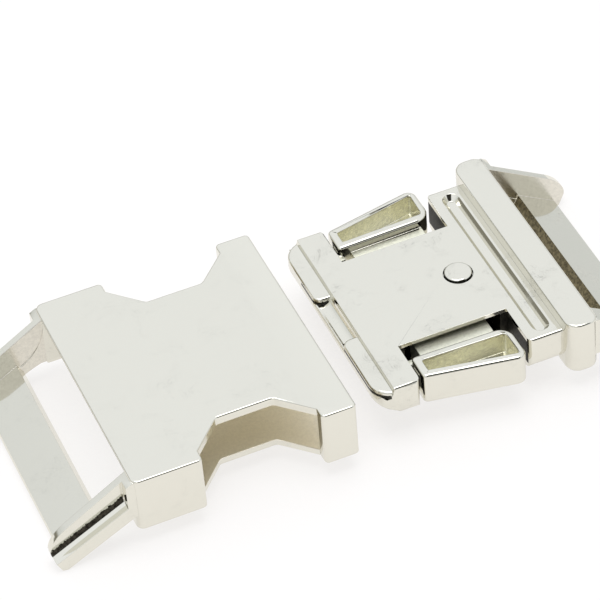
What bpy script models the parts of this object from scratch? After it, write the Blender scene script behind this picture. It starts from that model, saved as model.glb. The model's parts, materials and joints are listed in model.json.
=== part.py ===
"""Metal side-release buckle for 25 mm webbing, with its two halves apart.

The socket half lies at -X and the plug half at +X, on one common axis, and
both stand on the tips of their strap frames.  The origin is the centre of the
footprint.  Lengths below are in millimetres and become metres in the meshes.
"""
import math

import bmesh
import bpy
from mathutils import Vector

MM = 0.001

# Driving dimensions shared by the two halves.
WIDTH = 34.0                 # outer width across the webbing
THICKNESS = 8.1              # height of the closed buckle's body
GAP = 2.7                    # between the socket's mouth and the plug's nose
HALF_WIDTH = WIDTH / 2
ARC_STEP = math.radians(15)  # largest facet angle on a rounded corner
RIM_STEPS = 4                # facets across a rounded rim
PAST = 1.0                   # how far a cutter runs past the face it opens

# Socket half, measured from its strap-side wall towards its mouth.
SOCKET_LENGTH = 28.6
FLOOR_WALL = 1.1
ROOF_WALL = 1.2
BACK_WALL = 3.0
CAVITY_HALF_WIDTH = 15.3
NOTCH_BACK = 8.9             # square step on the strap side of a finger notch
NOTCH_FRONT = 24.1           # latch face of the post beside the mouth
NOTCH_WAIST = (12.75, 20.1)  # straight run at the bottom of the notch
NOTCH_HALF_WIDTH = 11.3      # half of the waist between the two notches
SOCKET_ROUNDS = (0.3, 0.25)  # rounding of the lower and upper rims
SOCKET_CORNER = 1.0          # strap-side corners, seen from above
CAVITY_CORNER = 1.5

# Strap frames: side arms that slope down from the body, and a flat bar.
ARM_SLOPE = math.radians(31)
ARM_TOP = 7.85               # height of the arm's upper edge where it starts
ARM_INNER = 14.3             # half of the clear width for the webbing
ARM_WEB = 15.3               # outer face of the thin upright web
ARM_OUTER = 16.7             # outer face of the lower flange
ARM_ROOT = 2.6               # how far an arm runs into the body
LIP_END = 9.6                # along the slope, where the upper edge turns down
TIP_END = 13.45              # along the slope, the far end of the arm
TIP_DROP = 2.2               # below the upper edge, the furthest point
TIP_DEPTH = 4.15             # below the upper edge, the foot of the tip
FLANGE_SLOPE = math.radians(27.4)
FLANGE_HEIGHTS = (2.25, 4.5)   # underside and upper face where the flange meets the body
FLANGE_FALL = 0.2            # upper face's outward draft
CHANNEL_END_WALL = 0.8
CHANNEL_FILLET = 0.9
SLOT_UNDERCUT = math.radians(17)   # lean of the body's wall beside the webbing slot
SLOT_EDGE = 0.02             # how far the leaning wall starts outside the body
SLOT_UNDERCUT_SIDE = 0.5     # how far the leaning wall runs behind each arm
GUSSET_REACH = (7.5, 6.9)    # radii of the curved edge of the thicker root inside an arm
GUSSET_TURN = math.radians(62)
GUSSET_TOP = 7.3
GUSSET_FOOT = ((2.2, 0.5), (0.9, 1.0), (-ARM_ROOT, 1.0))   # its lower edge, up to its root
GUSSET_END = -0.4            # height of its lower corner beside the bar
GUSSET_RISE = 0.12
BAR_DROP = 3.1               # bar's upper face below the arm's upper edge
BAR_THICKNESS = 1.5
BAR_SPAN = (6.55, 12.9)      # along the slope
BAR_ROOT = 0.4               # how far the bar runs into each arm
BAR_EASE = (0.35, 0.6)       # eased edges at the bar's far side, above and below

# Plug half, measured from the tip of its nose towards its strap side.
TONGUE_LIFT = 1.4            # tongue's underside above the socket's underside
TONGUE_THICKNESS = 5.0
TONGUE_HALF_WIDTH = 15.0
TONGUE_EDGES = (1.6, 0.35)   # rounding of its lower and upper side edges
NOSE_FRONT = 0.8
NOSE_CORNER = 2.8
NOSE_STEP = 3.0
NOSE_RAMP = 5.0              # where the sloped lead-in under the nose ends
NOSE_CHIN = (1.9, 1.6)       # height and rounding of the corner above the lead-in
NOSE_LIP = 0.3
NOSE_FLOOR = 3.5
PAD_TOP = 4.4
PAD_INNER_END = 3.9
PAD_ROUND = 0.35
BAY_FRONT = 6.45
BAY_BACK = 20.9
BAY_HALF_WIDTH = 8.45        # half width of the plate left between the bays
PLATE_UNDERSIDE = 4.45
SHOULDER_FRONT = 25.4
SHOULDER_BACK = 29.4
SHOULDER_CORNERS = (1.8, 1.3)   # seen from above, at the front and at the back
SHOULDER_ROUNDS = (1.0, 0.3)    # rounding of the lower and upper rims
INNER_SPAN = (7.25, 20.1)    # hollow under the plate, open into both bays
INNER_FLOOR = 1.1            # foot of the rib and the boss, just clear of the cover
GROOVE_CENTRE = 23.4
GROOVE_WIDTH = 2.3
GROOVE_FLOOR_WIDTH = 1.1
GROOVE_DEPTH = 0.75
GROOVE_HALF_LENGTH = 13.9
RIB_HALF_WIDTH = 1.2
RIB_SPAN = (8.0, 15.6)

# Cover, rivet, levers, pins and springs of the plug half.
COVER_SPAN = (4.2, 23.0)
COVER_HALF_WIDTH = 8.2
COVER_THICKNESS = 0.8
FIT_GAP = 0.1                # small clearance round fixed pieces
RUN_GAP = 0.3                # clearance round moving pieces
RIVET_X = 18.4
RIVET_HEAD = 1.78
RIVET_FOOT = 1.7
RIVET_SHANK = 1.15
RIVET_HEAD_HEIGHT = 0.65
RIVET_PROUD = 0.35
RIVET_ROUND = 0.3
BOSS_RADIUS = 2.6
PIN_X = 4.9
PIN_Y = 11.5
PIN_RADIUS = 0.75
PIN_BORE = 0.85
PIN_FOOT = 0.45
PIN_TOP = 4.35
LUG_RADIUS = 1.5
LUG_HEIGHTS = (1.3, 3.7)
LUG_SLOT_HALF_WIDTH = 1.9    # room in the ear for the lug to swing
LEVER_FRONT = 7.0
LEVER_BACK = 19.9
LEVER_BOTTOM = 0.45
LEVER_TOP = 4.95
LEVER_OUTER = (14.6, 17.15)  # outer face at the front and at the back
LEVER_INNER = (10.8, 11.1)   # inner face at the front and at the back
LEVER_ROUNDS = (0.3, 0.4)    # rounding of the lower and upper rims
POCKET_FLOOR = 1.9
POCKET = ((8.0, 11.9, 0.2), (8.0, 13.75, 0.2), (19.1, 16.05, 0.3), (19.0, 12.2, 0.5))
FOOT_HEIGHTS = (1.2, 3.8)
FOOT_INNER = 6.3
FOOT_SPAN = (8.6, 18.4)
SPRING_X = 13.6
SPRING_HEIGHT = 2.5
SPRING_RADIUS = 1.0
SPRING_WIRE = 0.18
SPRING_TURNS = 6
PEG_RADIUS = 0.5
PEG_LENGTH = 1.2


def arm_point(along, above):
    """Point on the arm's side view: distance down the slope, height above the upper edge."""
    back = along * math.cos(ARM_SLOPE) + above * math.sin(ARM_SLOPE)
    height = ARM_TOP - along * math.sin(ARM_SLOPE) + above * math.cos(ARM_SLOPE)
    return back, height


def ellipse_arc(centre, radii, steps):
    """Quarter of an ellipse from its top to its far side, as (a, b) points."""
    return [
        (centre[0] + radii[0] * math.sin(math.pi / 2 * step / steps),
         centre[1] + radii[1] * math.cos(math.pi / 2 * step / steps))
        for step in range(steps + 1)
    ]


# Rounded end of an arm, from the end of its lip round to its underside.
ARM_TIP = [arm_point(*point) for point in ellipse_arc(
    (LIP_END, -TIP_DROP), (TIP_END - LIP_END, TIP_DROP), 8)]
ARM_TIP += [arm_point(TIP_END + 0.15, 0.5 - TIP_DEPTH),
            arm_point(TIP_END - 0.35, -TIP_DEPTH)]
ARM_REACH = max(back for back, height in ARM_TIP)
GROUND = -min(height for back, height in ARM_TIP)   # the underside's height above the table
TOTAL_LENGTH = SOCKET_LENGTH + GAP + SHOULDER_BACK + 2 * ARM_REACH
SOCKET_X = ARM_REACH - TOTAL_LENGTH / 2
PLUG_X = SOCKET_X + SOCKET_LENGTH + GAP
PLUG_Z = GROUND + TONGUE_LIFT


def fillet(corners):
    """Outline with each corner (a, b, radius) rounded into an arc."""
    outline = []
    for index, (a, b, radius) in enumerate(corners):
        corner = Vector((a, b))
        if radius == 0:
            outline.append(corner)
            continue
        before = (Vector(corners[index - 1][:2]) - corner).normalized()
        after = (Vector(corners[(index + 1) % len(corners)][:2]) - corner).normalized()
        half = before.angle(after) / 2
        centre = corner + (before + after).normalized() * (radius / math.sin(half))
        start = corner + before * (radius / math.tan(half)) - centre
        end = corner + after * (radius / math.tan(half)) - centre
        sweep = start.angle_signed(end)
        steps = max(2, math.ceil(abs(sweep) / ARC_STEP - 0.01))
        for step in range(steps + 1):
            angle = math.atan2(start.y, start.x) - sweep * step / steps
            outline.append(centre + radius * Vector((math.cos(angle), math.sin(angle))))
    return outline


def inset(corners, distance):
    """The outline of corners (a, b, radius) moved inwards, with its arcs still parallel."""
    points = [Vector(corner[:2]) for corner in corners]
    area = sum(points[i - 1].cross(points[i]) for i in range(len(points)))
    inward = 1 if area > 0 else -1
    moved = []
    for index, (a, b, radius) in enumerate(corners):
        here, after = points[index], points[(index + 1) % len(points)]
        into = (here - points[index - 1]).normalized()
        out = (after - here).normalized()
        normals = inward * (into.orthogonal() + out.orthogonal())
        place = here + normals * distance / (1 + into.dot(out))
        convex = inward * into.cross(out) > 0
        if radius:
            radius += -distance if convex else distance
        moved.append((place.x, place.y, radius))
    return moved


def new_object(name, mesh_data, material=None):
    """Finish a bmesh as an object at the world origin."""
    bmesh.ops.recalc_face_normals(mesh_data, faces=mesh_data.faces)
    mesh = bpy.data.meshes.new(name)
    mesh_data.to_mesh(mesh)
    mesh_data.free()
    piece = bpy.data.objects.new(name, mesh)
    bpy.context.collection.objects.link(piece)
    if material:
        mesh.materials.append(material)
    return piece


def prism(name, outline, low, high, across="Z", material=None):
    """Straight extrusion of an outline; across names the axis it is swept along."""
    mesh_data = bmesh.new()

    def place(point, level):
        if across == "Z":
            return Vector((point[0], point[1], level)) * MM
        if across == "Y":
            return Vector((point[0], level, point[1])) * MM
        return Vector((level, point[0], point[1])) * MM

    rings = [[mesh_data.verts.new(place(point, level)) for point in outline] for level in (low, high)]
    mesh_data.faces.new(rings[0])
    mesh_data.faces.new(rings[1])
    bmesh.ops.bridge_loops(mesh_data, edges=[
        mesh_data.edges.get((ring[index - 1], ring[index])) for ring in rings for index in range(len(ring))
    ])
    return new_object(name, mesh_data, material)


def loft(name, rings, material=None):
    """Closed skin through rings of points, each with the same number of points."""
    mesh_data = bmesh.new()
    loops = [[mesh_data.verts.new(Vector(point) * MM) for point in ring] for ring in rings]
    for lower, upper in zip(loops, loops[1:]):
        for index in range(len(lower)):
            mesh_data.faces.new((lower[index - 1], lower[index], upper[index], upper[index - 1]))
    mesh_data.faces.new(loops[0])
    mesh_data.faces.new(loops[-1])
    return new_object(name, mesh_data, material)


def block(name, low, high, material=None):
    """Box between two corners."""
    outline = [(low[0], low[1]), (high[0], low[1]), (high[0], high[1]), (low[0], high[1])]
    return prism(name, outline, low[2], high[2], "Z", material)


def rounded_prism(name, origin, corners, heights, rounds, material=None):
    """Upright prism of an outline in a half's own X, with its lower and upper rims rounded."""
    rings = []
    for level, radius, lift in ((heights[0], rounds[0], 1), (heights[1], rounds[1], -1)):
        turns = [math.pi / 2 * step / RIM_STEPS for step in range(RIM_STEPS + 1)] if radius else [0.0]
        rim = []
        for turn in turns:
            outline = fillet(inset(corners, radius * (1 - math.sin(turn))))
            height = level + lift * radius * (1 - math.cos(turn))
            rim.append([(origin + point.x, point.y, height) for point in outline])
        rings += rim[::lift]
    return loft(name, rings, material)


def rod(name, centre, radius, low, high, across="Z", sides=24, material=None):
    """Round bar; centre holds its two coordinates across the sweep axis."""
    outline = [
        (centre[0] + radius * math.cos(2 * math.pi * side / sides),
         centre[1] + radius * math.sin(2 * math.pi * side / sides))
        for side in range(sides)
    ]
    return prism(name, outline, low, high, across, material)


def combine(target, tool, operation):
    """Boolean modifier with a hidden tool object."""
    tool.hide_render = True
    tool.display_type = "WIRE"
    step = target.modifiers.new(tool.name, "BOOLEAN")
    step.operation = operation
    step.object = tool
    step.solver = "EXACT"


def metal(name, colour, roughness):
    """Plain metal material for one piece."""
    material = bpy.data.materials.new(name)
    material.use_nodes = True
    shader = material.node_tree.nodes["Principled BSDF"]
    shader.inputs["Base Color"].default_value = (*colour, 1.0)
    shader.inputs["Metallic"].default_value = 1.0
    shader.inputs["Roughness"].default_value = roughness
    material.diffuse_color = (*colour, 1.0)
    return material


def add_strap_frame(target, name, wall_x, away, ground):
    """Two sloping arms and the webbing bar, fused to a half's strap-side wall.

    away is -1 or +1, the way along X that the frame leaves the body.
    """
    def side_view(points):
        return [(wall_x + away * back, ground + height) for back, height in points]

    def flange_line(level, back):
        """Point on a line parallel to the flange that meets the body at a given height."""
        return back, level - back * math.tan(FLANGE_SLOPE)

    # The body's wall leans in under its upper edge, so that the webbing can slope down past it.
    lean = (ARM_TOP + PAST) * math.tan(SLOT_UNDERCUT)
    wedge = [(SLOT_EDGE, ARM_TOP), (SLOT_EDGE - lean, -PAST), (PAST, -PAST)]
    clear = ARM_INNER + SLOT_UNDERCUT_SIDE
    combine(target, prism(f"{name}_slot_wall", side_view(wedge), -clear, clear, "Y"), "DIFFERENCE")

    # The arm's lower edge is the underside of its flange; a channel thins the web above the flange.
    far = ARM_REACH + 2 * PAST
    underside, upper_face = FLANGE_HEIGHTS
    arm_outline = [(-ARM_ROOT, ARM_TOP), (0.0, ARM_TOP)] + ARM_TIP
    arm_outline += [(0.0, underside), (-ARM_ROOT, underside)]
    gusset = [(-ARM_ROOT, GUSSET_TOP)]
    for step in range(9):
        turn = GUSSET_TURN * step / 8
        gusset.append((GUSSET_REACH[0] * (1 - math.cos(turn)),
                       GUSSET_TOP - GUSSET_REACH[1] * math.sin(turn)))
    gusset += [(gusset[-1][0], GUSSET_END), *GUSSET_FOOT]
    for side, sign in (("left", 1), ("right", -1)):
        arm = prism(f"{name}_arm_{side}", side_view(arm_outline), sign * ARM_INNER, sign * ARM_OUTER, "Y")
        combine(arm, prism(f"{name}_gusset_{side}", side_view(gusset), sign * (ARM_INNER - GUSSET_RISE),
                           sign * (ARM_INNER + BAR_ROOT), "Y"), "UNION")
        section = [(p.x, p.y) for p in fillet([
            (ARM_WEB, ARM_TOP, 0.0), (ARM_WEB, 0.0, CHANNEL_FILLET),
            (HALF_WIDTH + PAST, -FLANGE_FALL, 0.0), (HALF_WIDTH + PAST, ARM_TOP, 0.0),
        ])]
        stations = [side_view([flange_line(upper_face, back)])[0] for back in (CHANNEL_END_WALL, far)]
        combine(arm, loft(f"{name}_channel_{side}", [
            [(x, sign * across, level + above) for across, above in section] for x, level in stations
        ]), "DIFFERENCE")
        combine(target, arm, "UNION")

    bar_start, bar_end = BAR_SPAN
    bar_bottom = BAR_DROP + BAR_THICKNESS
    ease_above, ease_below = BAR_EASE
    bar_outline = [
        arm_point(bar_start, -BAR_DROP),
        arm_point(bar_end - ease_above, -BAR_DROP),
        arm_point(bar_end, -BAR_DROP - ease_above),
        arm_point(bar_end, ease_above - bar_bottom),
        arm_point(bar_end - ease_below, -bar_bottom),
        arm_point(bar_start, -bar_bottom),
    ]
    reach = ARM_INNER + BAR_ROOT
    combine(target, prism(f"{name}_bar", side_view(bar_outline), -reach, reach, "Y"), "UNION")


def make_socket(material):
    """Hollow housing with a mouth, two finger notches and a strap frame."""
    notch = [
        (NOTCH_BACK, HALF_WIDTH, 0.6),
        (NOTCH_BACK, CAVITY_HALF_WIDTH, 0.0),
        (NOTCH_WAIST[0], NOTCH_HALF_WIDTH, 0.8),
        (NOTCH_WAIST[1], NOTCH_HALF_WIDTH, 0.8),
        (NOTCH_FRONT, CAVITY_HALF_WIDTH, 0.0),
        (NOTCH_FRONT, HALF_WIDTH, 0.6),
    ]
    upper_side = [(0.0, HALF_WIDTH, SOCKET_CORNER)] + notch + [(SOCKET_LENGTH, HALF_WIDTH, 0.6)]
    lower_side = [(a, -b, radius) for a, b, radius in reversed(upper_side)]
    housing = rounded_prism("female_housing", SOCKET_X, upper_side + lower_side,
                            (GROUND, GROUND + THICKNESS), SOCKET_ROUNDS, material)
    add_strap_frame(housing, "socket", SOCKET_X, -1, GROUND)

    cavity = prism("socket_cavity", [
        (SOCKET_X + point.x, point.y) for point in fillet([
            (BACK_WALL, -CAVITY_HALF_WIDTH, CAVITY_CORNER),
            (SOCKET_LENGTH + PAST, -CAVITY_HALF_WIDTH, 0.0),
            (SOCKET_LENGTH + PAST, CAVITY_HALF_WIDTH, 0.0),
            (BACK_WALL, CAVITY_HALF_WIDTH, CAVITY_CORNER),
        ])
    ], GROUND + FLOOR_WALL, GROUND + THICKNESS - ROOF_WALL)
    combine(housing, cavity, "DIFFERENCE")
    return housing


def plug_outline(corners):
    """Rounded plan outline in the plug's own X."""
    return [(PLUG_X + point.x, point.y) for point in fillet(corners)]


def plug_block(name, low, high):
    """Box given in the plug's own X and Z."""
    return block(name, (PLUG_X + low[0], low[1], PLUG_Z + low[2]),
                 (PLUG_X + high[0], high[1], PLUG_Z + high[2]))


def make_groove():
    """Cutter for the long round-ended groove across the plug's rear land."""
    straight = GROOVE_HALF_LENGTH - GROOVE_WIDTH / 2
    rings = []
    for width, level in ((GROOVE_FLOOR_WIDTH, -GROOVE_DEPTH), (GROOVE_WIDTH, 0.0), (GROOVE_WIDTH, PAST)):
        ring = []
        for end, start_angle in ((1, 0.0), (-1, math.pi)):
            for step in range(9):
                angle = start_angle + math.pi * step / 8
                ring.append((PLUG_X + GROOVE_CENTRE + width / 2 * math.cos(angle),
                             end * straight + width / 2 * math.sin(angle),
                             PLUG_Z + TONGUE_THICKNESS + level))
        rings.append(ring)
    return loft("plug_groove", rings)


def make_plug(material):
    """Tongue, shoulder and strap frame of the plug half, in one casting."""
    half = TONGUE_HALF_WIDTH
    ear_corner = 0.8
    far = SHOULDER_FRONT + PAST

    # Nose in side view: a sloping lead-in, a rounded chin and a low front lip below a scooped step.
    chin_height, chin_round = NOSE_CHIN
    nose = [(p.x, p.y) for p in fillet([
        (NOSE_RAMP, 0.0, 0.0), (NOSE_FRONT, chin_height, chin_round),
        (NOSE_FRONT, NOSE_FLOOR, NOSE_LIP), (NOSE_RAMP, NOSE_FLOOR, 0.0),
    ])][:-1]
    scoop_start = nose[-1][0] + NOSE_LIP
    scoop = ellipse_arc((scoop_start, TONGUE_THICKNESS),
                        (NOSE_STEP - scoop_start, NOSE_FLOOR - TONGUE_THICKNESS), 6)
    smallest = 0.3   # corner radius that keeps the same number of points in every ring
    stations = [(x, height, max(smallest, NOSE_CORNER - (x - NOSE_FRONT))) for x, height in nose]
    stations += [(x, height, smallest) for x, height in scoop[1:]]
    rings = []
    for front, height, corner in stations:
        right_side = [
            (front, -half, corner), (BAY_FRONT, -half, ear_corner), (BAY_FRONT, -BAY_HALF_WIDTH, 0.0),
            (BAY_BACK, -BAY_HALF_WIDTH, 0.0), (BAY_BACK, -half, ear_corner), (far, -half, 0.0),
        ]
        left_side = [(a, -b, radius) for a, b, radius in reversed(right_side)]
        rings.append([(x, y, PLUG_Z + height) for x, y in plug_outline(right_side + left_side)])
    body = loft("male_body", rings, material)
    lower, upper = TONGUE_EDGES
    combine(body, prism("tongue_section", [(p.x, PLUG_Z + p.y) for p in fillet([
        (-half, 0.0, lower), (half, 0.0, lower), (half, TONGUE_THICKNESS, upper),
        (-half, TONGUE_THICKNESS, upper),
    ])], PLUG_X - PAST, PLUG_X + far + PAST, "X"), "INTERSECT")

    # A raised pad on each side of the nose, flush with its front and its side.
    pad_root = 0.3
    pad_back = NOSE_STEP + 1.0
    for side, sign in (("left", 1), ("right", -1)):
        pad = rounded_prism(f"nose_pad_{side}", PLUG_X, [
            (NOSE_FRONT, sign * PAD_INNER_END, 1.1), (pad_back, sign * PAD_INNER_END, 0.0),
            (pad_back, sign * half, 0.0), (NOSE_FRONT, sign * half, NOSE_CORNER),
        ], (PLUG_Z + NOSE_FLOOR - pad_root, PLUG_Z + PAD_TOP), (0.0, PAD_ROUND))
        combine(body, pad, "UNION")

    # Shoulder: the full outer section of the closed buckle, with eased ends.
    front_corner, back_corner = SHOULDER_CORNERS
    shoulder = rounded_prism("shoulder", PLUG_X, [
        (SHOULDER_FRONT, -HALF_WIDTH, front_corner), (SHOULDER_BACK, -HALF_WIDTH, back_corner),
        (SHOULDER_BACK, HALF_WIDTH, back_corner), (SHOULDER_FRONT, HALF_WIDTH, front_corner),
    ], (GROUND, GROUND + THICKNESS), SHOULDER_ROUNDS)
    combine(body, shoulder, "UNION")
    add_strap_frame(body, "plug", PLUG_X + SHOULDER_BACK, 1, GROUND)

    # Underside: a recess for the cover, and the cavity that holds feet and springs.
    combine(body, plug_block(
        "cover_recess", (COVER_SPAN[0] - FIT_GAP, -COVER_HALF_WIDTH - FIT_GAP, -PAST),
        (COVER_SPAN[1] + FIT_GAP, COVER_HALF_WIDTH + FIT_GAP, COVER_THICKNESS + FIT_GAP)), "DIFFERENCE")
    combine(body, plug_block(
        "inner_cavity", (INNER_SPAN[0], -BAY_HALF_WIDTH - PAST, -PAST),
        (INNER_SPAN[1], BAY_HALF_WIDTH + PAST, PLATE_UNDERSIDE)), "DIFFERENCE")

    # Rivet boss, and the rib that both springs push against.
    top = PLUG_Z + TONGUE_THICKNESS
    into_plate = (PLATE_UNDERSIDE + TONGUE_THICKNESS) / 2
    rivet_centre = (PLUG_X + RIVET_X, 0.0)
    peg_end = RIB_HALF_WIDTH + PEG_LENGTH
    combine(body, rod("rivet_boss", rivet_centre, BOSS_RADIUS, PLUG_Z + INNER_FLOOR,
                      PLUG_Z + into_plate), "UNION")
    combine(body, plug_block(
        "spring_rib", (RIB_SPAN[0], -RIB_HALF_WIDTH, INNER_FLOOR),
        (RIB_SPAN[1], RIB_HALF_WIDTH, into_plate)), "UNION")
    combine(body, rod("rib_pegs", (PLUG_X + SPRING_X, PLUG_Z + SPRING_HEIGHT), PEG_RADIUS,
                      -peg_end, peg_end, "Y", 12), "UNION")
    combine(body, rod("rivet_hole", rivet_centre, RIVET_SHANK + FIT_GAP, PLUG_Z - PAST,
                      top + PAST), "DIFFERENCE")
    seat_floor = top + RIVET_PROUD - RIVET_HEAD_HEIGHT - FIT_GAP
    combine(body, rod("rivet_seat", rivet_centre, RIVET_HEAD + FIT_GAP, seat_floor, top + PAST,
                      sides=32), "DIFFERENCE")

    combine(body, make_groove(), "DIFFERENCE")

    # Slots in the front ears for the levers' lugs, with a hole for each pivot pin.
    for side, sign in (("left", 1), ("right", -1)):
        pin_y = sign * PIN_Y
        combine(body, plug_block(
            f"lug_slot_{side}",
            (PIN_X - LUG_RADIUS - RUN_GAP, pin_y - LUG_SLOT_HALF_WIDTH, LUG_HEIGHTS[0] - RUN_GAP),
            (BAY_FRONT + PAST, pin_y + LUG_SLOT_HALF_WIDTH, LUG_HEIGHTS[1] + RUN_GAP)), "DIFFERENCE")
        combine(body, rod(f"pin_hole_{side}", (PLUG_X + PIN_X, pin_y), PIN_BORE, PLUG_Z - PAST,
                          PLUG_Z + PIN_TOP + FIT_GAP), "DIFFERENCE")
    return body


def make_cover(material):
    """Flat plate that closes the underside of the plug."""
    corner = 1.4
    cover = prism("bottom_cover", plug_outline([
        (COVER_SPAN[0], -COVER_HALF_WIDTH, corner), (COVER_SPAN[1], -COVER_HALF_WIDTH, corner),
        (COVER_SPAN[1], COVER_HALF_WIDTH, corner), (COVER_SPAN[0], COVER_HALF_WIDTH, corner),
    ]), PLUG_Z, PLUG_Z + COVER_THICKNESS, "Z", material)
    centre = (PLUG_X + RIVET_X, 0.0)
    combine(cover, rod("cover_hole", centre, RIVET_SHANK + FIT_GAP, PLUG_Z - PAST,
                       PLUG_Z + COVER_THICKNESS + PAST), "DIFFERENCE")
    combine(cover, rod("cover_seat", centre, RIVET_FOOT + FIT_GAP, PLUG_Z - PAST,
                       PLUG_Z + COVER_THICKNESS / 2 + FIT_GAP, sides=32), "DIFFERENCE")
    return cover


def make_rivet(material):
    """Headed rivet turned about its own axis."""
    top = TONGUE_THICKNESS + RIVET_PROUD
    ease = 0.12
    foot_height = COVER_THICKNESS / 2
    rim = ellipse_arc((RIVET_HEAD - RIVET_ROUND, top - RIVET_ROUND), (RIVET_ROUND, RIVET_ROUND), 4)
    profile = [
        (0.0, top), *rim, (RIVET_HEAD, top - RIVET_HEAD_HEIGHT), (RIVET_SHANK, top - RIVET_HEAD_HEIGHT),
        (RIVET_SHANK, foot_height), (RIVET_FOOT, foot_height), (RIVET_FOOT, ease),
        (RIVET_FOOT - ease, 0.0), (0.0, 0.0),
    ]
    mesh_data = bmesh.new()
    points = [mesh_data.verts.new(Vector((radius, 0.0, height)) * MM) for radius, height in profile]
    edges = [mesh_data.edges.new(pair) for pair in zip(points, points[1:])]
    bmesh.ops.spin(mesh_data, geom=points + edges, axis=(0, 0, 1), cent=(0, 0, 0),
                   angle=2 * math.pi, steps=32, use_merge=True)
    bmesh.ops.remove_doubles(mesh_data, verts=mesh_data.verts, dist=1e-6)
    rivet = new_object("centre_rivet", mesh_data, material)
    rivet.location = Vector((PLUG_X + RIVET_X, 0.0, PLUG_Z)) * MM
    rivet.data.shade_smooth()
    rivet.data.set_sharp_from_angle(angle=math.radians(30))
    return rivet


def make_lever(side, sign, material):
    """Sprung release lever: a pocketed finger pad, an inner foot and a pivot lug."""
    def outline(corners):
        return [(PLUG_X + p.x, p.y) for p in fillet([(a, sign * b, radius) for a, b, radius in corners])]

    lever = rounded_prism(f"lever_{side}", PLUG_X, [
        (LEVER_FRONT, sign * LEVER_INNER[0], 0.5), (LEVER_FRONT, sign * LEVER_OUTER[0], 0.6),
        (LEVER_BACK, sign * LEVER_OUTER[1], 1.2), (LEVER_BACK, sign * LEVER_INNER[1], 2.0),
    ], (PLUG_Z + LEVER_BOTTOM, PLUG_Z + LEVER_TOP), LEVER_ROUNDS, material)
    root = 0.5
    foot = prism(f"foot_{side}", outline([
        (FOOT_SPAN[0], FOOT_INNER, 0.6), (FOOT_SPAN[0], LEVER_INNER[0] + root, 0.0),
        (FOOT_SPAN[1], LEVER_INNER[1] + root, 0.0), (FOOT_SPAN[1], FOOT_INNER, 1.5),
    ]), PLUG_Z + FOOT_HEIGHTS[0], PLUG_Z + FOOT_HEIGHTS[1])
    combine(lever, foot, "UNION")
    peg = rod(f"foot_peg_{side}", (PLUG_X + SPRING_X, PLUG_Z + SPRING_HEIGHT), PEG_RADIUS,
              sign * (FOOT_INNER + root), sign * (FOOT_INNER - PEG_LENGTH), "Y", 12)
    combine(lever, peg, "UNION")
    lug_round = LUG_RADIUS - 0.01
    lug = prism(f"lug_{side}", outline([
        (PIN_X - LUG_RADIUS, PIN_Y - LUG_RADIUS, lug_round),
        (LEVER_FRONT + root, PIN_Y - LUG_RADIUS, 0.0),
        (LEVER_FRONT + root, PIN_Y + LUG_RADIUS, 0.0),
        (PIN_X - LUG_RADIUS, PIN_Y + LUG_RADIUS, lug_round),
    ]), PLUG_Z + LUG_HEIGHTS[0], PLUG_Z + LUG_HEIGHTS[1])
    combine(lever, lug, "UNION")
    pocket = prism(f"pocket_{side}", outline(POCKET), PLUG_Z + POCKET_FLOOR, PLUG_Z + LEVER_TOP + PAST)
    combine(lever, pocket, "DIFFERENCE")
    combine(lever, rod(f"lug_bore_{side}", (PLUG_X + PIN_X, sign * PIN_Y), PIN_BORE,
                       PLUG_Z + LUG_HEIGHTS[0] - PAST, PLUG_Z + LUG_HEIGHTS[1] + PAST), "DIFFERENCE")
    return lever


def make_pin(side, sign, material):
    """Pivot pin of one lever, pushed in from below."""
    return rod(f"pivot_pin_{side}", (PLUG_X + PIN_X, sign * PIN_Y), PIN_RADIUS, PLUG_Z + PIN_FOOT,
               PLUG_Z + PIN_TOP, material=material)


def make_spring(side, sign, material):
    """Small compression spring between the rib and a lever's foot."""
    start = RIB_HALF_WIDTH + RUN_GAP
    length = FOOT_INNER - RUN_GAP - start
    curve = bpy.data.curves.new(f"spring_{side}", "CURVE")
    curve.dimensions = "3D"
    curve.bevel_depth = SPRING_WIRE * MM
    curve.bevel_resolution = 1
    curve.use_fill_caps = True
    steps_per_turn = 14
    count = SPRING_TURNS * steps_per_turn + 1
    spline = curve.splines.new("POLY")
    spline.points.add(count - 1)
    for index in range(count):
        angle = 2 * math.pi * index / steps_per_turn
        along = start + SPRING_WIRE + (length - 2 * SPRING_WIRE) * index / (count - 1)
        spline.points[index].co = (
            (PLUG_X + SPRING_X + SPRING_RADIUS * math.cos(angle)) * MM,
            sign * along * MM,
            (PLUG_Z + SPRING_HEIGHT + SPRING_RADIUS * math.sin(angle)) * MM,
            1.0,
        )
    spring = bpy.data.objects.new(f"spring_{side}", curve)
    curve.materials.append(material)
    bpy.context.collection.objects.link(spring)
    return spring


def move_origin(piece, point):
    """Put an object's origin at a point given in millimetres, leaving its mesh in place."""
    offset = Vector(point) * MM
    for vertex in piece.data.vertices:
        vertex.co -= offset
    piece.location = offset


def main():
    """Build every piece of the buckle."""
    for leftover in list(bpy.data.objects):
        bpy.data.objects.remove(leftover)

    nickel = metal("bright_nickel", (0.80, 0.79, 0.75), 0.12)
    cover_nickel = metal("cover_nickel", (0.76, 0.75, 0.71), 0.2)
    rivet_nickel = metal("rivet_nickel", (0.78, 0.77, 0.73), 0.15)
    lever_nickel = metal("lever_nickel", (0.82, 0.81, 0.76), 0.1)
    pin_steel = metal("pin_steel", (0.62, 0.62, 0.62), 0.25)
    spring_steel = metal("spring_steel", (0.5, 0.5, 0.52), 0.3)

    make_socket(nickel)
    make_plug(nickel)
    make_cover(cover_nickel)
    make_rivet(rivet_nickel)
    for side, sign in (("left", 1), ("right", -1)):
        lever = make_lever(side, sign, lever_nickel)
        move_origin(lever, (PLUG_X + PIN_X, sign * PIN_Y, PLUG_Z))
        make_pin(side, sign, pin_steel)
        make_spring(side, sign, spring_steel)


main()
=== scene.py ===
"""Looks of the metal side-release buckle: bright nickel plate in a white studio."""
import json
import math

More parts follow.
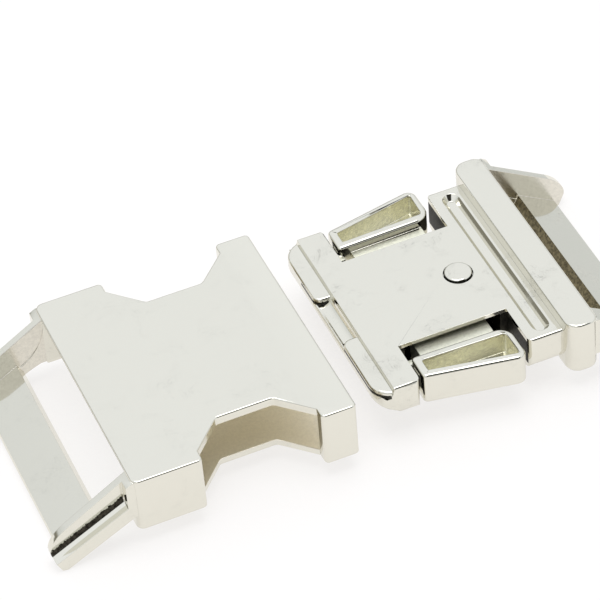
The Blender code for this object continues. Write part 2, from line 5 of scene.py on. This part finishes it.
import bpy
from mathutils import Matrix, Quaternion, Vector


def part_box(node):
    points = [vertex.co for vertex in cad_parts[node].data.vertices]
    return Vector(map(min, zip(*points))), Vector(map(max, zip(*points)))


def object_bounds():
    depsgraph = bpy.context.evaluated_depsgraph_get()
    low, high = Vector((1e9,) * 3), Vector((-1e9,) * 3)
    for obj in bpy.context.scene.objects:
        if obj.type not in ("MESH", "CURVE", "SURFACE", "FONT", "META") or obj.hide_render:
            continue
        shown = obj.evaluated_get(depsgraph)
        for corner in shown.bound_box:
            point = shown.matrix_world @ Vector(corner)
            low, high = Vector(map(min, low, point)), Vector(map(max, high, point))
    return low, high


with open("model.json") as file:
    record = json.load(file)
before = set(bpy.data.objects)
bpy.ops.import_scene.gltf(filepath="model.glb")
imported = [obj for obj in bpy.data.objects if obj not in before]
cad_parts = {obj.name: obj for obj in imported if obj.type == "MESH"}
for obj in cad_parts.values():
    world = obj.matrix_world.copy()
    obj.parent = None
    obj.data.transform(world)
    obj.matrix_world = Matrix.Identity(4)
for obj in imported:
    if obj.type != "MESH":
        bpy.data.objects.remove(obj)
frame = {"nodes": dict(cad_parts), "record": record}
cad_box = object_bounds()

MM = 0.001
CAD_CENTRE = (cad_box[0] + cad_box[1]) / 2

# Camera, as an orbit round a point close to the middle of the buckle.
CAMERA_AZIMUTH = math.radians(-19.5)
CAMERA_ELEVATION = math.radians(43.2)
CAMERA_ROLL = math.radians(-5.3)
CAMERA_DISTANCE = 419 * MM
CAMERA_AIM = CAD_CENTRE + Vector((1.0, 7.4, 0.7)) * MM
CAMERA_LENS = 202

# Studio: a white tent, a dark round opening in it, and a dim strip low on one side.
# Heights are the upward part of a direction of length 1.
TENT_LOW = (0.75, 0.78, 0.80, 1)
TENT_HIGH = (1.0, 1.03, 1.08, 1)
TENT_HEIGHTS = (0.25, 0.7)
OPENING_COLOUR = (0.035, 0.034, 0.03, 1)
OPENING_AZIMUTH = math.radians(8)
OPENING_OUTER = math.radians(27)
OPENING_INNER = math.radians(20)
STRIP_COLOUR = (0.20, 0.19, 0.14, 1)
STRIP_SHARE = 0.9
STRIP_FOOT = (0.0, 0.05)
STRIP_TOP = (0.28, 0.16)
STRIP_SIDE = (0.45, 0.1)
TABLE_HALF = 3.0
TABLE_COLOUR = (0.27, 0.265, 0.262, 1)
TABLE_GLOW = (1.0, 0.985, 0.975, 1)
TABLE_GLOW_STRENGTH = 0.72

# Plates and steels, in linear colour.
NICKEL = (0.775, 0.756, 0.672)
SATIN_NICKEL = (0.74, 0.72, 0.67)
PIN_STEEL = (0.56, 0.56, 0.56)
SPRING_STEEL = (0.5, 0.5, 0.52)
STAIN = (0.25, 0.24, 0.21, 1)

# How far each mark changes a plate's colour (as a share of the mix) and its roughness.
DULLING = 0.93
BRIGHTENING = 1.06
PATCH_SHARE, PATCH_ROUGHNESS = 0.5, 0.07
SCRATCH_SHARE, SCRATCH_ROUGHNESS = 0.35, 0.10
STAIN_SHARE = 0.22
WORN_SHARE, WORN_ROUGHNESS = 0.5, 0.04
GRAIN_ROUGHNESS = 0.03

# Relief of the marks, as heights relative to one another.
SCRATCH_RELIEF = -0.6
GRAIN_RELIEF = 0.35
MOTTLE_RELIEF = 3.0
RELIEF_STRENGTH = 0.04
RELIEF_DEPTH = 0.02 * MM

# Places on the part in millimetres. The recesses below are measured from them.
mounts = {mount["name"]: mount["pos_m"] for mount in frame["record"]["mounts"]}
cover_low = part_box("bottom_cover")[0]
rivet_low, rivet_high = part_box("centre_rivet")
UNDERSIDE_FROM_WALL = 6.0    # the underside's mount lies this far from the strap-side wall
COVER_FROM_NOSE = 4.2        # the cover starts this far behind the tip of the nose
GROUND = mounts["socket_underside"][2] / MM       # underside of the socket half
WALL = UNDERSIDE_FROM_WALL - mounts["socket_underside"][0] / MM   # either half's, from the middle
PLUG_X = cover_low[0] / MM - COVER_FROM_NOSE      # tip of the nose
PLUG_Z = cover_low[2] / MM                        # underside of the tongue
RIVET_X = (rivet_low[0] + rivet_high[0]) / 2 / MM

# Strap frames of both halves, from GROUND, the strap-side wall and the axis.
ARM_SLOPE = math.radians(31)
ARM_TOP = 7.85               # height of an arm's upper edge where it starts
ARM_INNER = (14.12, 14.42)   # band round an arm's inner face
FLANGE_SLOPE = math.radians(27.4)
FLANGE_TOP = 4.5             # height of the flange where it starts
CHANNEL_START = 0.9
CHANNEL_FOOT = (15.25, 15.55)   # band of the flange along the arm's web
PAINTED_SHADE_RISE = 1.15          # how far the painted shade climbs from the flange
BAR_START = 6.55             # along the arm's slope
BAR_HALF_LENGTH = 14.15
BAR_FACE_START = 2.9
BAR_FACE_TOP = 2.2
BAR_FACE_MARGIN = 0.15       # of the face's line, across it

# Hollow of the socket half, from GROUND, its strap-side wall and the axis.
CAVITY_START = 2.9
CAVITY_HEIGHTS = (1.05, 6.95)
CAVITY_HALF_WIDTH = 15.4

# Plug half, from PLUG_X, PLUG_Z and the axis.
BAY_SPAN = (6.4, 20.95)
BAY_HEIGHTS = (0.9, 4.42)
PAD_FOOT_END = 2.6
PAD_FOOT_HEIGHTS = (3.5, 3.93)
PAD_FOOT_INNER = 3.6
PAD_FOOT_FAR_END = 8.5
RIVET_HEAD_RADIUS = 1.68
RIVET_HEAD_TOP = 5.22
POCKET_SPAN = (7.95, 19.15)
POCKET_HEIGHTS = (1.85, 4.6)
POCKET_INNER = 11.85
POCKET_OUTER = 12.14         # outer side, where its line meets PLUG_X
POCKET_TAPER = 0.2072        # outward run of the outer side for each millimetre along X
LEVER_FOOT_OUTER = 10.7
LEVER_FOOT_TOP = 3.85


def direction(azimuth, elevation):
    """Unit vector towards a place in the studio; azimuth 0 is the -Y side."""
    return Vector((math.sin(azimuth) * math.cos(elevation),
                   -math.cos(azimuth) * math.cos(elevation), math.sin(elevation)))


def make_camera():
    """Long lens that looks down at the buckle's side."""
    data = bpy.data.cameras.new("camera")
    data.lens = CAMERA_LENS
    data.clip_start = 10 * MM
    camera = bpy.data.objects.new("camera", data)
    bpy.context.scene.collection.objects.link(camera)
    back = direction(CAMERA_AZIMUTH, CAMERA_ELEVATION)
    camera.location = CAMERA_AIM + back * CAMERA_DISTANCE
    camera.rotation_mode = "QUATERNION"
    level = (-back).to_track_quat("-Z", "Y")
    camera.rotation_quaternion = level @ Quaternion((0, 0, 1), CAMERA_ROLL)
    bpy.context.scene.camera = camera


class Nodes:
    """Short way to write a node tree."""

    def __init__(self, tree):
        self.tree = tree
        tree.nodes.clear()

    def set(self, socket, value):
        """Link a socket to an input, or give the input a value."""
        if isinstance(value, bpy.types.NodeSocket):
            self.tree.links.new(value, socket)
        else:
            socket.default_value = value

    def fill(self, sockets, values):
        """Set several inputs in order."""
        for socket, value in zip(sockets, values):
            self.set(socket, value)

    def add(self, kind, **settings):
        """New node; settings named after inputs are values or sockets, the rest are properties."""
        node = self.tree.nodes.new(kind)
        for name, value in settings.items():
            socket = node.inputs.get(name.replace("_", " "))
            if socket is None:
                setattr(node, name, value)
            else:
                self.set(socket, value)
        return node

    def math(self, operation, *values):
        node = self.add("ShaderNodeMath", operation=operation)
        self.fill(node.inputs, values)
        return node.outputs[0]

    def vector(self, operation, *values):
        node = self.add("ShaderNodeVectorMath", operation=operation)
        self.fill(node.inputs, values)
        return node.outputs["Value" if operation in ("DOT_PRODUCT", "LENGTH") else "Vector"]

    def noise(self, place, **settings):
        return self.add("ShaderNodeTexNoise", Vector=place, **settings).outputs["Fac"]

    def smooth(self, value, low, high):
        """Smooth step of a value, 0 at low and 1 at high."""
        node = self.add("ShaderNodeMapRange", interpolation_type="SMOOTHSTEP")
        self.fill(node.inputs, (value, low, high, 0.0, 1.0))
        return node.outputs[0]

    def blend(self, share, first, second):
        """Mix of two colours."""
        node = self.add("ShaderNodeMix", data_type="RGBA")
        self.fill([socket for socket in node.inputs if socket.enabled], (share, first, second))
        return next(socket for socket in node.outputs if socket.enabled)

    def inside(self, *limits):
        """1 where every value lies between its low and its high limit, else 0."""
        result = 1.0
        for value, low, high in limits:
            for operation, limit in (("GREATER_THAN", low), ("LESS_THAN", high)):
                if limit is not None:
                    result = self.math("MULTIPLY", result, self.math(operation, value, limit))
        return result


def make_world():
    """White tent, with its dark opening and its dim strip."""
    world = bpy.data.worlds.new("studio")
    bpy.context.scene.world = world
    world.use_nodes = True
    n = Nodes(world.node_tree)
    ray = n.add("ShaderNodeTexCoord").outputs["Generated"]
    across, _, height = n.add("ShaderNodeSeparateXYZ", Vector=ray).outputs
    tent = n.blend(n.smooth(height, *TENT_HEIGHTS), TENT_LOW, TENT_HIGH)
    strip = n.math("MULTIPLY", n.smooth(height, *STRIP_FOOT), n.smooth(height, *STRIP_TOP))
    strip = n.math("MULTIPLY", strip, n.smooth(across, *STRIP_SIDE))
    tent = n.blend(n.math("MULTIPLY", strip, STRIP_SHARE), tent, STRIP_COLOUR)
    nearness = n.vector("DOT_PRODUCT", ray, direction(OPENING_AZIMUTH, CAMERA_ELEVATION))
    opening = n.smooth(nearness, math.cos(OPENING_OUTER), math.cos(OPENING_INNER))
    tent = n.blend(opening, tent, OPENING_COLOUR)
    background = n.add("ShaderNodeBackground", Color=tent, Strength=1.0)
    n.add("ShaderNodeOutputWorld", Surface=background.outputs[0])


def make_table():
    """Wide matt white table that glows a little, as one lit from all sides."""
    half = TABLE_HALF
    mesh = bpy.data.meshes.new("table")
    mesh.from_pydata([(-half, -half, 0), (half, -half, 0), (half, half, 0), (-half, half, 0)], [],
                     [(0, 1, 2, 3)])
    table = bpy.data.objects.new("table", mesh)
    bpy.context.scene.collection.objects.link(table)
    material = bpy.data.materials.new("table_white")
    material.use_nodes = True
    inputs = material.node_tree.nodes["Principled BSDF"].inputs
    inputs["Base Color"].default_value = TABLE_COLOUR
    inputs["Emission Color"].default_value = TABLE_GLOW
    inputs["Emission Strength"].default_value = TABLE_GLOW_STRENGTH
    inputs["Roughness"].default_value = 0.9
    inputs["Specular IOR Level"].default_value = 0.1
    mesh.materials.append(material)


def make_light(name, azimuth, elevation, distance, size, power):
    """Square lamp that faces the middle of the buckle; lengths in metres, power in watts."""
    data = bpy.data.lights.new(name, "AREA")
    data.shape = "SQUARE"
    data.size = size
    data.energy = power
    light = bpy.data.objects.new(name, data)
    bpy.context.scene.collection.objects.link(light)
    towards = direction(azimuth, elevation)
    light.location = CAD_CENTRE + towards * distance
    light.rotation_euler = towards.to_track_quat("Z", "Y").to_euler()


def shifted(base, span):
    """Two limits, moved from their base."""
    return base + span[0], base + span[1]


def scaled(colour, factor):
    """Lighter or darker colour, with its alpha."""
    return (*(channel * factor for channel in colour), 1.0)


def scratches_along(n, place, degrees, stretch, low, high):
    """Sparse thin scratches along one direction in the plane of the table."""
    turned = n.add("ShaderNodeMapping", Vector=place, Rotation=(0, 0, math.radians(degrees)), Scale=stretch)
    return n.smooth(n.noise(turned.outputs[0], Scale=1.0, Detail=2.0, Roughness=0.6), low, high)


def scratch_marks(n, place):
    """Scratches in three directions."""
    marks = scratches_along(n, place, 18, (0.12, 6.0, 0.5), 0.66, 0.78)
    for degrees, stretch in ((-41, (0.2, 8.0, 0.5)), (77, (0.15, 7.0, 0.5))):
        marks = n.math("MAXIMUM", marks, scratches_along(n, place, degrees, stretch, 0.68, 0.80))
    return marks


def smudge_marks(n, place):
    """Broad dull patches, and the fine veins that dried in them."""
    patch = n.smooth(n.noise(place, Scale=0.22, Detail=5.0, Roughness=0.6, Distortion=0.6), 0.5, 0.75)
    vein = n.noise(place, Scale=0.35, Detail=4.0, Roughness=0.65, Distortion=1.2)
    vein = n.smooth(n.math("ABSOLUTE", n.math("SUBTRACT", vein, 0.5)), 0.022, 0.0)
    return patch, n.math("MULTIPLY", vein, patch)


def plated(name, colour, roughness, smudges=1.0, seed=0.0, recesses=()):
    """Plated metal with fine scratches, handling smudges and worn edges.

    Each recess is (where, colour, roughness, mottling), a mottled colour and roughness where
    where(n, x, y, z, mottle) gives 1: a rougher finish in some, painted shade and painted dark reflections
    in others; x, y and z are in millimetres from the part's origin.
    """
    material = bpy.data.materials.new(name)
    material.use_nodes = True
    n = Nodes(material.node_tree)
    place = n.add("ShaderNodeTexCoord").outputs["Object"]
    place = n.vector("MULTIPLY", place, (1 / MM, 1 / MM, 1 / MM))
    x, y, z = n.add("ShaderNodeSeparateXYZ", Vector=place).outputs
    place = n.vector("ADD", place, (seed, seed * 1.7, seed * 0.6))
    marks = scratch_marks(n, place)
    patch, vein = smudge_marks(n, place)
    grain = n.noise(place, Scale=9.0, Detail=4.0, Roughness=0.7)
    worn = n.smooth(n.add("ShaderNodeNewGeometry").outputs["Pointiness"], 0.52, 0.62)

    dull = scaled(colour, DULLING)
    shade = n.blend(n.math("MULTIPLY", patch, PATCH_SHARE * smudges), scaled(colour, 1.0), dull)
    shade = n.blend(n.math("MULTIPLY", marks, SCRATCH_SHARE), shade, dull)
    shade = n.blend(n.math("MULTIPLY", vein, STAIN_SHARE * smudges), shade, STAIN)
    shade = n.blend(n.math("MULTIPLY", worn, WORN_SHARE), shade, scaled(colour, BRIGHTENING))
    rough = n.math("MULTIPLY_ADD", patch, PATCH_ROUGHNESS * smudges, roughness)
    rough = n.math("MULTIPLY_ADD", marks, SCRATCH_ROUGHNESS, rough)
    rough = n.math("MULTIPLY_ADD", grain, GRAIN_ROUGHNESS, rough)
    rough = n.math("MULTIPLY_ADD", worn, WORN_ROUGHNESS, rough)
    height = n.math("MULTIPLY_ADD", marks, SCRATCH_RELIEF, n.math("MULTIPLY", grain, GRAIN_RELIEF))

    if recesses:
        mottle = n.smooth(n.noise(place, Scale=2.6, Detail=6.0, Roughness=0.75), 0.38, 0.62)
    # Each recess lays its colour over the plate: a rougher finish for some, painted shade and painted dark
    # reflections for others.
    for where, finish_and_shade, finish_and_shade_roughness, mottling in recesses:
        inside = where(n, x, y, z, mottle)
        mottled_finish_and_shade = n.blend(mottle, scaled(finish_and_shade, 1 - mottling), scaled(finish_and_shade, 1 + mottling))
        shade = n.blend(inside, shade, mottled_finish_and_shade)
        rough = n.math("ADD", n.math("MULTIPLY", rough, n.math("SUBTRACT", 1.0, inside)),
                       n.math("MULTIPLY", inside, finish_and_shade_roughness))
        height = n.math("MULTIPLY_ADD", n.math("MULTIPLY", inside, mottle), MOTTLE_RELIEF, height)
    bump = n.add("ShaderNodeBump", Height=height, Strength=RELIEF_STRENGTH, Distance=RELIEF_DEPTH).outputs[0]
    shader = n.add("ShaderNodeBsdfPrincipled", Base_Color=shade, Metallic=1.0, Roughness=rough, Normal=bump)
    n.add("ShaderNodeOutputMaterial", Surface=shader.outputs[0])
    return material


def socket_cavity(n, x, y, z, mottle):
    """Inside of the socket half, left as cast under the plate."""
    return n.inside((x, CAVITY_START - WALL, None), (z, *shifted(GROUND, CAVITY_HEIGHTS)),
                    (n.math("ABSOLUTE", y), None, CAVITY_HALF_WIDTH))


def channel_painted_shade(n, x, y, z, mottle):
    """Foot of the channel on the outside of a strap arm, painted near black as the shade in its inner
    corner.
    """
    back = n.math("SUBTRACT", n.math("ABSOLUTE", x), WALL)
    level = n.math("MULTIPLY_ADD", back, math.tan(FLANGE_SLOPE), z)
    level = n.math("MULTIPLY_ADD", mottle, 0.3, level)
    return n.inside((level, None, GROUND + FLANGE_TOP + PAINTED_SHADE_RISE), (back, CHANNEL_START, None),
                    (n.math("ABSOLUTE", y), *CHANNEL_FOOT))


def bar_face_painted_shade(n, x, y, z, mottle):
    """Face of the plug's webbing bar that looks into the slot, painted dark olive as the shade there."""
    back = n.math("SUBTRACT", x, WALL)
    level = n.math("MULTIPLY_ADD", back, -1 / math.tan(ARM_SLOPE), z)
    foot = GROUND + ARM_TOP - BAR_START / math.sin(ARM_SLOPE)
    return n.inside((level, foot - BAR_FACE_MARGIN, None), (back, BAR_FACE_START, None),
                    (n.math("ABSOLUTE", y), None, BAR_HALF_LENGTH), (z, None, GROUND + BAR_FACE_TOP))


def arm_inside(n, x, y, z, mottle):
    """Inner side of the strap arms, rubbed dull by the webbing."""
    back = n.math("SUBTRACT", n.math("ABSOLUTE", x), WALL)
    return n.inside((back, 0.1, None), (n.math("ABSOLUTE", y), *ARM_INNER))


def bay_painted_shade(n, x, y, z, mottle):
    """Walls of the bays and of the hollow under the plate, painted near black as the shade in them."""
    return n.inside((x, *shifted(PLUG_X, BAY_SPAN)), (z, *shifted(PLUG_Z, BAY_HEIGHTS)))


def pad_foot_painted_reflection(n, x, y, z, mottle):
    """Foot of the nose pads, painted near black as a dark reflection along it."""
    return n.inside((x, None, PLUG_X + PAD_FOOT_END), (z, *shifted(PLUG_Z, PAD_FOOT_HEIGHTS)),
                    (y, None, PAD_FOOT_FAR_END), (n.math("ABSOLUTE", y), PAD_FOOT_INNER, None))


def rivet_painted_shadow(n, x, y, z, mottle):
    """Side of the rivet's head, down into its seat, painted near black as the shadow round the head."""
    flat = n.add("ShaderNodeCombineXYZ", X=x, Y=y).outputs[0]
    radius = n.vector("LENGTH", n.vector("SUBTRACT", flat, (RIVET_X, 0, 0)))
    return n.inside((radius, RIVET_HEAD_RADIUS, None), (z, None, PLUG_Z + RIVET_HEAD_TOP))


def lever_pocket(sign):
    """Finger pocket of the lever on one side."""
    def where(n, x, y, z, mottle):
        """Inside of the pocket, between its tapering sides."""
        out = n.math("MULTIPLY", y, sign)
        along = n.math("SUBTRACT", x, PLUG_X)
        outer = n.math("MULTIPLY_ADD", along, -POCKET_TAPER, out)
        return n.inside((z, *shifted(PLUG_Z, POCKET_HEIGHTS)), (along, *POCKET_SPAN),
                        (out, POCKET_INNER, None), (outer, None, POCKET_OUTER))
    return where


def lever_foot(sign):
    """Foot of the lever on one side."""
    def where(n, x, y, z, mottle):
        """Inner foot, which slides under the plate."""
        out = n.math("MULTIPLY", y, sign)
        return n.inside((out, None, LEVER_FOOT_OUTER), (z, None, PLUG_Z + LEVER_FOOT_TOP))
    return where


# Recesses as (where, colour, roughness, mottling); the near-black and dark olive ones are painted shade and
# painted dark reflections, the rest a rougher finish.
STRAP_RECESSES = (
    # near-black painted shade in the channel's inner corner
    (channel_painted_shade, (0.05, 0.045, 0.035), 0.45, 0.6),
    (arm_inside, (0.74, 0.71, 0.63), 0.2, 0.05),
)
SOCKET_RECESSES = (
    (socket_cavity, (0.95, 0.90, 0.77), 0.42, 0.04),
    *STRAP_RECESSES,
)
PLUG_RECESSES = (
    # near-black painted shade in the bays and the hollow under the plate
    (bay_painted_shade, (0.035, 0.033, 0.026), 0.5, 0.4),
    # near-black painted reflection along the foot of the nose pads
    (pad_foot_painted_reflection, (0.05, 0.048, 0.04), 0.35, 0.5),
    # dark olive painted shade on the bar's face towards the slot
    (bar_face_painted_shade, (0.20, 0.175, 0.11), 0.4, 0.5),
    *STRAP_RECESSES,
)
RIVET_RECESSES = (
    # near-black painted shadow round the rivet's head
    (rivet_painted_shadow, (0.02, 0.02, 0.016), 0.35, 0.3),
)


def lever_recesses(sign):
    """Recesses of the lever on one side."""
    return (
        (lever_pocket(sign), (0.84, 0.82, 0.68), 0.27, 0.1),
        (lever_foot(sign), (0.92, 0.91, 0.76), 0.4, 0.07),
    )


def smoothing_group():
    """Geometry nodes that drop imported normals and shade every face smooth."""
    group = bpy.data.node_groups.new("smooth_faces", "GeometryNodeTree")
    group.interface.new_socket("Geometry", in_out="INPUT", socket_type="NodeSocketGeometry")
    group.interface.new_socket("Geometry", in_out="OUTPUT", socket_type="NodeSocketGeometry")
    flow = group.nodes.new("NodeGroupInput").outputs[0]
    for name in ("custom_normal", "sharp_edge", "sharp_face"):
        remove = group.nodes.new("GeometryNodeRemoveAttribute")
        remove.inputs["Name"].default_value = name
        group.links.new(flow, remove.inputs["Geometry"])
        flow = remove.outputs[0]
    group.links.new(flow, group.nodes.new("NodeGroupOutput").inputs[0])
    return group


SMOOTHING = smoothing_group()


def dress(node, material, edge):
    """Round a CAD node's edges by modifiers, edge millimetres wide, and give it its material."""
    piece = frame["nodes"][node]
    weld = piece.modifiers.new("weld", "WELD")
    weld.merge_threshold = 0.002 * MM
    smooth = piece.modifiers.new("smooth", "NODES")
    smooth.node_group = SMOOTHING
    edges = piece.modifiers.new("edges", "BEVEL")
    edges.width = edge * MM
    edges.segments = 3
    edges.limit_method = "ANGLE"
    edges.angle_limit = math.radians(30)
    edges.use_clamp_overlap = False
    edges.miter_outer = "MITER_ARC"
    normals = piece.modifiers.new("normals", "WEIGHTED_NORMAL")
    normals.mode = "FACE_AREA_WITH_ANGLE"
    normals.keep_sharp = False
    piece.data.materials.clear()
    piece.data.materials.append(material)


make_camera()
make_world()
make_table()
make_light("overhead", 0, math.radians(88), distance=0.9, size=0.6, power=3)
bpy.context.scene.view_settings.view_transform = "Standard"

dress("female_housing", plated("bright_nickel_socket", NICKEL, 0.07, smudges=0.5, seed=3.0,
                               recesses=SOCKET_RECESSES), edge=0.06)
dress("male_body", plated("bright_nickel_plug", NICKEL, 0.07, smudges=1.6, seed=11.0,
                          recesses=PLUG_RECESSES), edge=0.05)
dress("bottom_cover", plated("satin_nickel_cover", SATIN_NICKEL, 0.2, seed=5.0), edge=0.08)
dress("centre_rivet", plated("turned_nickel_rivet", NICKEL, 0.08, seed=7.0,
                             recesses=RIVET_RECESSES), edge=0.05)
for side, sign, seed in (("left", 1, 17.0), ("right", -1, 23.0)):
    dress(f"lever_{side}", plated(f"bright_nickel_lever_{side}", NICKEL, 0.06, seed=seed,
                                  recesses=lever_recesses(sign)), edge=0.1)
    dress(f"pivot_pin_{side}", plated(f"pin_steel_{side}", PIN_STEEL, 0.22, seed=seed), edge=0.05)
    dress(f"spring_{side}", plated(f"spring_steel_{side}", SPRING_STEEL, 0.28, seed=seed), edge=0.01)
